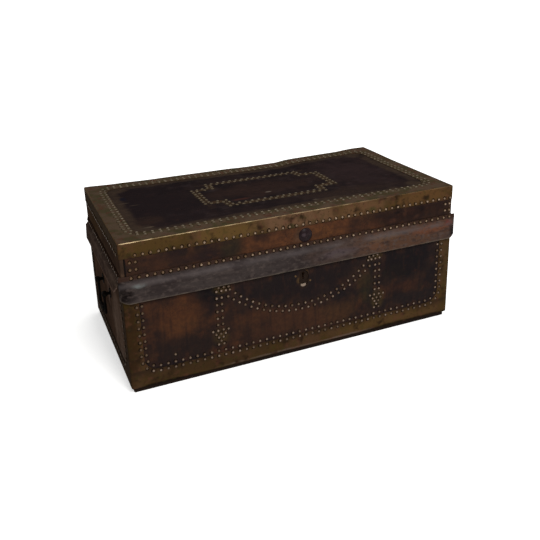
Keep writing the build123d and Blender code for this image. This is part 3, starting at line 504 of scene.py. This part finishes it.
def camphor(name, light_code, dark_code, grain_axis):
    """Wood with its grain along one axis (0 is X, 1 is Y); its outer faces are darkened near black."""
    material, tree, mm = start(name)
    stretch = [1.0, 1.0, 1.0]
    stretch[grain_axis] = 14.0
    rings = mottle(tree, mm, RING_WIDE, 0.35, 0.65, stretch, detail=6.0)
    broad = mottle(tree, mm, 30.0, 0.3, 0.7, stretch, detail=2.0, seed=4.0)
    stretch[grain_axis] = 90.0
    pores = mottle(tree, mm, PORE_WIDE, 0.5, 0.66, stretch, detail=2.0, seed=9.0)
    stretch[grain_axis] = 4.0
    handled = mottle(tree, mm, 60.0, 0.45, 0.7, stretch, detail=3.0, seed=13.0)
    colour = lay(tree, light_code, dark_code, rings, 0.45)
    colour = lay(tree, colour, dark_code, pores, 0.6)
    colour = lay(tree, colour, dark_code, broad, 0.45)
    colour = lay(tree, colour, "#33221a", handled, 0.5)
    up = add(tree, "SeparateXYZ", {0: mm}).outputs[2]
    above = add(tree, "Math", {0: up, 1: DARKENED_DEPTH - DARKENED_UNDER}, operation="ADD")
    outer = add(tree, "Math", {0: inset(tree, mm), 1: above}, operation="MINIMUM")
    darkening = {"Value": outer, "From Min": DARKENED_DEPTH, "From Max": DARKENED_DEPTH - 0.6}
    colour = lay(tree, colour, "#120e0c", add(tree, "MapRange", darkening), 0.92)
    bump = add(tree, "Bump", {"Strength": 0.4, "Distance": 0.3 * MM, "Height": rings})
    finish = {"Base Color": colour, "Roughness": 0.7, "Specular IOR Level": 0.04, "Normal": bump}
    coat(tree, finish)
    return material


wood_along_x = camphor("camphorwood boards", "#6a4a33", "#3d2819", 0)
wood_along_y = camphor("camphorwood end boards", "#684832", "#3a2618", 1)


# Wrought iron, forged and left black. The eye sees dark scale, rust in the hollows and greyer
# iron where hands rubbed it. Its pits are finer than can show here, so they are drawn 3 mm wide.
PIT_WIDE = 3.0


def wrought_iron(name, scale_code, rust_code, bare_code):
    """Forged iron with patches of rust."""
    material, tree, mm = start(name)
    colour = lay(tree, scale_code, rust_code, mottle(tree, mm, 9.0, 0.4, 0.62))
    colour = lay(tree, colour, bare_code, mottle(tree, mm, 14.0, 0.58, 0.75, seed=6.0))
    pits = mottle(tree, mm, PIT_WIDE, 0.3, 0.7, seed=1.0)
    bump = add(tree, "Bump", {"Strength": 0.5, "Distance": 0.4 * MM, "Height": pits})
    finish = {"Base Color": colour, "Roughness": 0.55, "Metallic": 0.05, "Normal": bump}
    finish["Specular IOR Level"] = 0.0
    coat(tree, finish)
    return material


handle_iron = wrought_iron("wrought iron of the handles", "#100f0e", "#1b1411", "#262321")
lock_iron = wrought_iron("sheet iron of the lock", "#2a2826", "#3a281c", "#56524e")


# Skirt: a single loose strip of hide, tanned and lacquered, then worn by every opening. The eye
# sees grey where its lacquer has gone, brown by the nails and a pale cut edge below; its belly is
# lighter with a painted highlight where it swings out towards the light.
BELLY_FOOT = (274.0, 283.0)  # heights in mm where a colour starts and is full; the belly's two bound a painted highlight
BELLY_TOP = (293.0, 286.0)
NAILED_FOOT = (293.0, 297.0)


def skirt_hide(name, ground, marks, belly_highlight_code, edge_code, gloss):
    """Loose hide: brown where it is nailed, a painted highlight on its belly, pale along its lower edge.
    """
    material, tree, mm = start(name)
    dark, middle, worn = ground
    up = add(tree, "SeparateXYZ", {0: mm}).outputs[2]
    colour = lay(tree, dark, middle, mottle(tree, mm, 44.0, 0.35, 0.65, (2.2, 1, 0.5)))
    colour = lay_spots(tree, mm, colour, marks)
    colour = lay(tree, colour, worn, mottle(tree, mm, 18.0, 0.5, 0.75, (2, 1, 0.6), seed=5.5), 0.4)
    dirty = mottle(tree, mm, 26.0, 0.55, 0.75, (2, 1, 0.6), seed=8.5)
    colour = lay(tree, colour, "#231c1b", dirty, 0.7)
    colour = lay(tree, colour, worn, mottle(tree, mm, 9.0, 0.48, 0.68, (1.6, 1, 1), seed=15.0), 0.6)
    colour = lay(tree, colour, dark, mottle(tree, mm, 7.0, 0.52, 0.7, (1.6, 1, 1), seed=18.0), 0.6)
    above_foot, below_top, nailed = [
        add(tree, "MapRange", {"Value": up, "From Min": none, "From Max": full})
        for none, full in (BELLY_FOOT, BELLY_TOP, NAILED_FOOT)
    ]
    highlight_patches = mottle(tree, mm, 50.0, 0.3, 0.6, (2, 1, 1), seed=4.0)
    # Painted highlight on the belly, where the skirt swings out to face the light.
    colour = lay(tree, colour, belly_highlight_code, above_foot, below_top, highlight_patches, 0.55)
    colour = lay(tree, colour, "#33231c", nailed, 0.9)
    edge = add(tree, "Attribute", attribute_name="edge").outputs["Fac"]
    colour = lay(tree, colour, edge_code, edge, 0.75)
    pebbles = add(tree, "TexVoronoi", {"Vector": mm, "Scale": 1 / HIDE_GRAIN, "Randomness": 0.9})
    folds = mottle(tree, mm, 16.0, 0.2, 0.8, (2, 1, 0.7), seed=3.1)
    relief = add(tree, "Math", {0: folds, 1: 3.0, 2: pebbles}, operation="MULTIPLY_ADD")
    bump = add(tree, "Bump", {"Strength": 0.5, "Distance": 0.4 * MM, "Height": relief})
    finish = {"Base Color": colour, "Roughness": 0.5, "Specular IOR Level": gloss, "Normal": bump}
    coat(tree, finish)
    return material


# Spots on the front skirt: most are its own colour, but the pale one at its left end is a painted
# highlight and the two near-black ones beside it are painted shade in the hollow of its curl.
FRONT_SKIRT_STAINS_AND_LIGHT = [
    (120, 268, 110, 40, "#43342d", 0.8),
    (320, 268, 190, 60, "#4a3428", 0.95),
    (230, 280, 50, 12, "#57402f", 0.7),
    # painted highlight on the curl at the left end
    (-412, 281, 22, 8, "#6c7472", 0.9),
    # painted shade in the hollow of that curl, this one and the next
    (-440, 268, 24, 26, "#120d0c", 1.0),
    (-452, 266, 12, 40, "#120d0c", 1.0),
    (100, 262, 60, 14, "#463c3e", 0.8),
    (370, 276, 70, 12, "#5b3828", 0.8),
    (200, 262, 40, 10, "#54392a", 0.7),
    (438, 284, 14, 9, "#5a2c27", 0.8),
    # darker at the skirt's right end
    (448, 260, 12, 24, "#1a1312", 1.0),
]
skirt_leather = skirt_hide(
    "rubbed hide of the front skirt",
    ("#2b2423", "#362f2d", "#4a403c"),
    FRONT_SKIRT_STAINS_AND_LIGHT,
    belly_highlight_code="#544c4b",
    edge_code="#7d7062",
    gloss=0.015,
)
end_skirt_leather = skirt_hide(
    "rubbed hide of the end skirts",
    ("#352923", "#43362f", "#584940"),
    [],
    belly_highlight_code="#54463d",
    edge_code="#8f7468",
    gloss=0.0,
)

# Blackened brass: cast, turned and dipped, so its skin hides the metal. The eye sees a smooth
# plum black; a paler patch up on its left is a painted highlight, a darker one low on its right painted
# shade.
boss_x = (boss_low.x + boss_high.x) / 2 / MM
boss_z = (boss_low.z + boss_high.z) / 2 / MM
BOSS_HIGHLIGHT_AND_SHADE = [
    # painted shade, low on the right of the dome
    (boss_x + 9, boss_z - 6, 10, 9, "#120b0c", 0.9),
    # painted highlight, up on its left
    (boss_x - 7, boss_z + 3, 6, 5, "#3b3033", 0.9),
]


def blackened(name, code, worn_code, worn):
    """Blackened brass with spots laid on it: on the boss, a painted highlight and a painted shade."""
    material, tree, mm = start(name)
    colour = lay(tree, code, worn_code, mottle(tree, mm, 6.0, 0.45, 0.7))
    colour = lay_spots(tree, mm, colour, worn)
    finish = {"Base Color": colour, "Roughness": 0.33, "Metallic": 0.0, "Specular IOR Level": 0.05}
    coat(tree, finish)
    return material


boss_metal = blackened("blackened brass boss", "#1c1214", "#261b1d", BOSS_HIGHLIGHT_AND_SHADE)


# ---- Meshes --------------------------------------------------------------------------------
def finish_piece(shape, name, material, body, node):
    """Turns a bmesh into a piece that rides on a body and stands for a CAD node."""
    bmesh.ops.recalc_face_normals(shape, faces=shape.faces)
    mesh = bpy.data.meshes.new(name)
    shape.to_mesh(mesh)
    shape.free()
    mesh.materials.append(material)
    mesh.polygons.foreach_set("use_smooth", [True] * len(mesh.polygons))
    piece = bpy.data.objects.new(name, mesh)
    bpy.context.scene.collection.objects.link(piece)
    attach(piece, body)
    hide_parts(node)
    return piece


def dress(material, *names):
    """Gives CAD nodes their finish."""
    for name in names:
        slots = nodes[name].data.materials
        slots.clear()
        slots.append(material)


def shake(x, y, size, seed=0.0):
    """Smooth unevenness from -1 to 1 with waves about size metres long."""
    return noise.noise(Vector((x / size + seed, y / size - seed, seed * 1.3)))


def eased(value):
    """Smooth step from 0 to 1."""
    value = min(1.0, max(0.0, value))
    return value * value * (3 - 2 * value)


# ---- Skirt over the joint ------------------------------------------------------------------
SKIRT_THICK = 2.3 * MM
SKIRT_ROWS = 22
ROOT_HIGH = 10.5 * MM  # nailed flat for this much below its top
BELLY_DROP = 9.0 * MM  # and fully swung out this much lower
BELLY_SHARE = 0.78  # of the reach of its foot
PALE_EDGE = 3.2 * MM
LEFT_CURL = (26 * MM, 11)  # length at the front's left end that is curled up, and mm it rises
RIGHT_CURL = (16 * MM, 14)  # and at its right end
FRONT_DRAW = (30 * MM, 14 * MM)  # lengths that draw in, left and right
TEAR_LONG = 46 * MM
TEAR_HIGH = 32 * MM
END_DRAW = 10 * MM  # length at the back of the ends that draws in

front_top = front_high.z
front_foot = front_low.z
front_length = front_high.x - front_low.x
front_out = -front_low.y - half_d
end_foot = left_low.z
end_length = left_high.y - left_low.y
end_out = -left_low.x - half_l


def skirt_point(down, foot, out, rounding):
    """Distance off the brass and height of the skirt's outside; down is 0 at the top, 1 at the hem."""
    root_z = front_top - ROOT_HIGH
    z = front_top - down * (front_top - foot)
    flat = SKIRT_THICK - brass
    if z > root_z:
        return flat, z
    fall = min(1.0, (root_z - z) / BELLY_DROP)
    belly = math.sin(fall * math.pi / 2) * BELLY_SHARE
    lower = max(0.0, (root_z - BELLY_DROP - z) / (root_z - BELLY_DROP - foot))
    reach = (belly + (1 - BELLY_SHARE) * lower) * out
    return flat + (reach - flat) * min(1.0, fall * 1.4) * rounding, z


def skirt(name, node, leather, out, length, steps, foot_at, rounding_at, place):
    """Hanging strip of hide: a grid bent to its section, then given its thickness."""
    shape = bmesh.new()
    bmesh.ops.create_grid(shape, x_segments=steps, y_segments=SKIRT_ROWS, size=0.5)
    edge = shape.verts.layers.float.new("edge")
    for vert in shape.verts:
        along = (vert.co.x + 0.5) * length
        foot = foot_at(along)
        off, z = skirt_point(0.5 - vert.co.y, foot, out, rounding_at(along))
        hang = max(0.0, (front_top - ROOT_HIGH - z) / (front_top - foot))
        # Long shallow waves first, then short ones.
        off -= hang * (0.8 + 0.8 * shake(along, 0, 0.09, 2.0)) * MM
        off -= hang * (0.5 + 0.5 * shake(along, z, 0.02, 6.0)) * 0.6 * MM
        pale = 0.5 + 0.5 * shake(along, 1, 0.02, 4.0) + 0.4 * shake(along, 1, 0.11, 4.0)
        vert[edge] = max(0.0, 1 - (z - foot) / PALE_EDGE) * min(1.0, max(0.0, pale))
        vert.co = place(along, off, z)
    piece = finish_piece(shape, name, leather, "lid", node)
    wall = piece.modifiers.new("thickness", "SOLIDIFY")
    wall.thickness = SKIRT_THICK
    wall.offset = -1
    wall.use_even_offset = False


def front_foot_at(along):
    """Hem of the front skirt, a little wavy, rounded up at its ends."""
    left = max(0.0, 1 - along / LEFT_CURL[0])
    right = max(0.0, 1 - (front_length - along) / RIGHT_CURL[0])
    wave = 0.6 + 0.6 * shake(along, 0, 0.12)
    return front_foot + (wave + LEFT_CURL[1] * left**2.2 + RIGHT_CURL[1] * right) * MM


def front_rounding(along):
    """The front skirt draws in at its two ends."""
    left = min(1.0, along / FRONT_DRAW[0])
    right = min(1.0, (front_length - along) / FRONT_DRAW[1])
    return math.sqrt(1 - (1 - left) ** 2) * math.sqrt(1 - (1 - right) ** 2)


def front_place(along, off, z):
    """Point of the front skirt."""
    return Vector((front_low.x + along, -half_d - off, z))


def torn_foot_at(along):
    """Hem of the left skirt: torn off on a slant towards the front corner."""
    rise = 0.0
    if along < TEAR_LONG:
        rise = (1 - along / TEAR_LONG) * TEAR_HIGH + shake(along, 3, 0.011) * 3 * MM
    return end_foot + 2.5 * MM + 2 * MM * shake(along, 0, 0.1) + rise


def whole_foot_at(along):
    """Hem of the right skirt."""
    return end_foot + (0.8 + 0.8 * shake(along, 8, 0.1)) * MM


def end_rounding(along):
    """The end skirts draw in only at the back."""
    share = min(1.0, (end_length - along) / END_DRAW)
    return math.sin(share * math.pi / 2) ** 0.7


def left_place(along, off, z):
    """Point of the left skirt, from the front corner backwards."""
    return Vector((-half_l - off, left_low.y + along, z))


def right_place(along, off, z):
    """Point of the right skirt."""
    return Vector((half_l + off, left_low.y + along, z))


skirt(
    "front_skirt",
    "flap_front",
    skirt_leather,
    out=front_out,
    length=front_length,
    steps=260,
    foot_at=front_foot_at,
    rounding_at=front_rounding,
    place=front_place,
)
for name, node, steps, foot_at, place in (
    ("left_skirt", "flap_left", 160, torn_foot_at, left_place),
    ("right_skirt", "flap_right", 140, whole_foot_at, right_place),
):
    skirt(name, node, end_skirt_leather, end_out, end_length, steps, foot_at, end_rounding, place)

# ---- Warped top of the lid -----------------------------------------------------------------
# The boards have dried and cupped: along the back the top edge waves, its front is still true.
WARP = [(-450, 3.0), (-360, 0.0), (-250, -2.3), (-40, -4.0), (40, -6.3), (130, -6.3), (182, -1.4)]
WARP += [(340, 0.0), (400, 3.5), (450, 3.0)]  # mm along the back edge, mm up
WARP_DEEP = (20, 200)  # mm behind the middle where it starts, mm to its full size
WARP_HIGH = (338, 30)  # mm above the floor where it starts, mm to its full size
WARP_CUTS = [(0, x) for x in range(-435, 450, 30)] + [(1, y) for y in (60, 100, 140, 180)]
WARP_CUTS += [(2, 350), (2, 362)]
SHARP_EDGE = math.radians(28)


def warp(point):
    """How far the lid has moved up at a point."""
    x, y, z = (c / MM for c in point)
    rise = WARP[0][1] if x < 0 else WARP[-1][1]
    for (x0, up0), (x1, up1) in zip(WARP, WARP[1:]):
        if x0 <= x < x1:
            rise = up0 + (up1 - up0) * eased((x - x0) / (x1 - x0))
    behind = eased((y - WARP_DEEP[0]) / WARP_DEEP[1])
    return rise * behind * eased((z - WARP_HIGH[0]) / WARP_HIGH[1]) * MM


def warped(name, material):
    """Cut and warped copy of a piece of the lid."""
    shape = bmesh.new()
    shape.from_mesh(nodes[name].data)
    bmesh.ops.remove_doubles(shape, verts=shape.verts, dist=SAME_POINT)
    for axis, place in WARP_CUTS:
        normal = [0, 0, 0]
        normal[axis] = 1
        cut = [place * MM * n for n in normal]
        whole = shape.verts[:] + shape.edges[:] + shape.faces[:]
        bmesh.ops.bisect_plane(shape, geom=whole, plane_co=cut, plane_no=normal, dist=SAME_POINT)
    for vert in shape.verts:
        vert.co.z += warp(vert.co)
    piece = finish_piece(shape, name + "_warped", material, "lid", name)
    piece.data.set_sharp_from_angle(angle=SHARP_EDGE)


warped("lid_top_board", wood_along_x)
warped("lid_back_rail", wood_along_x)
warped("lid_left_rail", wood_along_y)
warped("lid_right_rail", wood_along_y)
warped("lid_leather_top", top_hide)
for side in ("back", "left", "right"):
    warped("lid_leather_" + side, end_hide)
    warped("lid_band_" + side, edge_brass)

# ---- Nails ---------------------------------------------------------------------------------
# The thin flat ring round the foot, from 4.5 to 5.9 mm out, carries that dark foot.
HEAD_SECTION = [(5.9, 0.0), (4.5, 0.28), (4.3, 0.6), (3.5, 1.6), (2.0, 2.35), (0.0, 2.65)]  # mm out, up
HEAD_STEPS = 10
HEAD_TIP = 5  # degrees, at most, each way
HEAD_SIZES = (0.93, 1.0)  # of the section, from the smallest nail to the largest
HEAD_RISES = (0.85, 1.0)  # and of its height, from the most hammered down
HEAD_SUNK = 0.15 * MM
END_POLISH = {"lid": 0.75, "chest": 0.63}  # the ends' nails get less polish, as painted shade on the shaded ends
CARTOUCHE_DULL = 0.6  # of their polish gone
LEFT_DULL = 0.045  # nails within this of the left end have lost all of it


def head_places(name):
    """Seat and direction of every nail head in a CAD group."""
    heads = bmesh.new()
    heads.from_mesh(nodes[name].data)
    bmesh.ops.remove_doubles(heads, verts=heads.verts, dist=SAME_POINT)
    seen = set()
    places = []
    for vert in heads.verts:
        if vert in seen:
            continue
        seen.add(vert)
        island = [vert]
        for other in island:
            for edge in other.link_edges:
                near = edge.other_vert(other)
                if near not in seen:
                    seen.add(near)
                    island.append(near)
        low = [min(v.co[i] for v in island) for i in range(3)]
        high = [max(v.co[i] for v in island) for i in range(3)]
        axis = min(range(3), key=lambda i: high[i] - low[i])
        seat = [(a + b) / 2 for a, b in zip(low, high)]
        way = 1 if seat[axis] > 0 else -1
        seat[axis] = low[axis] if way > 0 else high[axis]
        direction = Vector((0, 0, 0))
        direction[axis] = way
        places.append((Vector(seat), direction))
    heads.free()
    return places


def head_template():
    """One closed nail head, from its section spun round; returns its mesh and each point's height."""
    shape = bmesh.new()
    verts = [shape.verts.new((r * MM, 0, z * MM)) for r, z in [(0.0, 0.0)] + HEAD_SECTION]
    edges = [shape.edges.new(pair) for pair in zip(verts, verts[1:])]
    axis = {"cent": (0, 0, 0), "axis": (0, 0, 1), "angle": 2 * math.pi, "steps": HEAD_STEPS}
    bmesh.ops.spin(shape, geom=verts + edges, use_merge=True, **axis)
    bmesh.ops.remove_doubles(shape, verts=shape.verts, dist=SAME_POINT)
    bmesh.ops.recalc_face_normals(shape, faces=shape.faces)
    mesh = bpy.data.meshes.new("nail head")
    shape.to_mesh(mesh)
    shape.free()
    top = max(v.co.z for v in mesh.vertices)
    return mesh, [v.co.z / top for v in mesh.vertices]


head_mesh, head_heights = head_template()


def nail_heads(name, body, metal, seed):
    """Hand-driven nails: each a little turned, tipped, sunk and worn in its own way."""
    rng = random.Random(seed)
    shape = bmesh.new()
    tints = []
    crowns = []
    for seat, direction in head_places(name):
        upright = direction.to_track_quat("Z", "Y").to_matrix().to_4x4()
        tip = Matrix.Rotation(math.radians(rng.uniform(-HEAD_TIP, HEAD_TIP)), 4, "X")
        lean = Matrix.Rotation(math.radians(rng.uniform(-HEAD_TIP, HEAD_TIP)), 4, "Y")
        size = rng.uniform(*HEAD_SIZES)
        flat = Matrix.Diagonal((size, size, size * rng.uniform(*HEAD_RISES), 1))
        before = len(shape.verts)
        shape.from_mesh(head_mesh)
        shape.verts.ensure_lookup_table()
        if body == "lid":
            seat.z += warp(seat)
        place = Matrix.Translation(seat - direction * HEAD_SUNK) @ upright @ tip @ lean @ flat
        bmesh.ops.transform(shape, matrix=place, verts=shape.verts[before:])
        # Less polish on the ends' nails is painted shade.
        polish = END_POLISH[body] if abs(direction.x) > 0.5 else 1.0
        crowns += [h * polish for h in head_heights]
        dulled = CARTOUCHE_DULL if name == "nails_lid_cartouche" else 0.0
        if seat.x < LEFT_DULL - half_l:
            dulled = 1.0
        tints += [min(1.0, dulled + rng.random())] * len(head_heights)
    piece = finish_piece(shape, name + "_heads", metal, body, name)
    for label, values in (("crown", crowns), ("tint", tints)):
        attribute = piece.data.attributes.new(label, "FLOAT", "POINT")
        attribute.data.foreach_set("value", values)


NAIL_GROUPS = [
    ("nails_front_border", "chest", chest_nails),
    ("nails_plain_borders", "chest", chest_nails),
    ("nails_drape", "chest", chest_nails),
    ("nails_lid_sides", "lid", lid_nails),
    ("nails_lid_border", "lid", top_nails),
    ("nails_lid_cartouche", "lid", top_nails),
]
for seed, (name, body, metal) in enumerate(NAIL_GROUPS):
    nail_heads(name, body, metal, seed)

# ---- Finishes of the carried-over construction ----------------------------------------------
dress(front_hide, "leather_front")
dress(end_hide, "leather_back", "leather_left", "leather_right")
dress(lid_hide, "lid_leather_front")
dress(wood_along_x, "front_board", "back_board", "bottom_board", "lid_front_rail")
dress(wood_along_y, "left_board", "right_board")
dress(edge_brass, "lid_band_front", *[n for n in nodes if n.startswith(("bottom_band", "corner_band"))])
dress(hinge_brass, "escutcheon_pins", *[n for n in nodes if "hinge" in n])
dress(lock_iron, *[n for n in nodes if n.startswith("lock")])
dress(handle_iron, *[n for n in nodes if "bail" in n or "handle" in n])
dress(boss_metal, "boss", "boss_pin")
dress(bright_brass, "escutcheon_stub")


# ---- Stage ---------------------------------------------------------------------------------
def seen_as_white(tree):
    """1 for the camera, for gloss and through glass, 0 for light that falls on the chest."""
    path = add(tree, "LightPath").outputs
    rays = {0: path["Is Camera Ray"], 1: path["Is Glossy Ray"]}
    seen = add(tree, "Math", rays, operation="MAXIMUM")
    return add(tree, "Math", {0: seen, 1: path["Is Transmission Ray"]}, operation="MAXIMUM")


def make_floor():
    """Wide floor in matt pale paint: white far off, with the chest's soft shadow round its foot."""
    shape = bmesh.new()
    bmesh.ops.create_grid(shape, x_segments=1, y_segments=1, size=FLOOR_SIZE)
    mesh = bpy.data.meshes.new("floor")
    shape.to_mesh(mesh)
    shape.free()
    floor = bpy.data.objects.new("floor", mesh)
    bpy.context.scene.collection.objects.link(floor)
    material = bpy.data.materials.new("pale floor")
    tree = empty_tree(material)
    paint = add(tree, "BsdfDiffuse", {"Color": "#f2f2f0"})
    place = add(tree, "TexCoord").outputs["Object"]
    away = add(tree, "VectorMath", {0: place}, operation="LENGTH").outputs["Value"]
    near, far, least = FLOOR_GLOW
    limits = {"Value": away, "From Min": near, "From Max": far, "To Min": least}
    glow = add(tree, "MapRange", limits)
    strength = add(tree, "Math", {0: glow, 1: seen_as_white(tree)}, operation="MULTIPLY")
    light = add(tree, "Emission", {"Color": "#ffffff", "Strength": strength})
    both = add(tree, "AddShader", {0: paint, 1: light})
    add(tree, "OutputMaterial", {"Surface": both})
    mesh.materials.append(material)


def make_world():
    """Even studio light that the camera and shiny surfaces see as white."""
    world = bpy.data.worlds.new("studio")
    tree = empty_tree(world)
    light = add(tree, "Background", {"Color": "#ffffff", "Strength": WORLD_LIGHT})
    shown = add(tree, "Background", {"Color": "#ffffff", "Strength": 1.0})
    mixed = add(tree, "MixShader", {0: seen_as_white(tree), 1: light, 2: shown})
    add(tree, "OutputWorld", {"Surface": mixed})
    bpy.context.scene.world = world


make_camera()
make_world()
make_lamp("key", KEY_PLACE, KEY_SIZE, KEY_WATTS)
make_lamp("top", TOP_PLACE, TOP_SIZE, TOP_WATTS)
make_floor()
bpy.context.scene.view_settings.view_transform = "Standard"
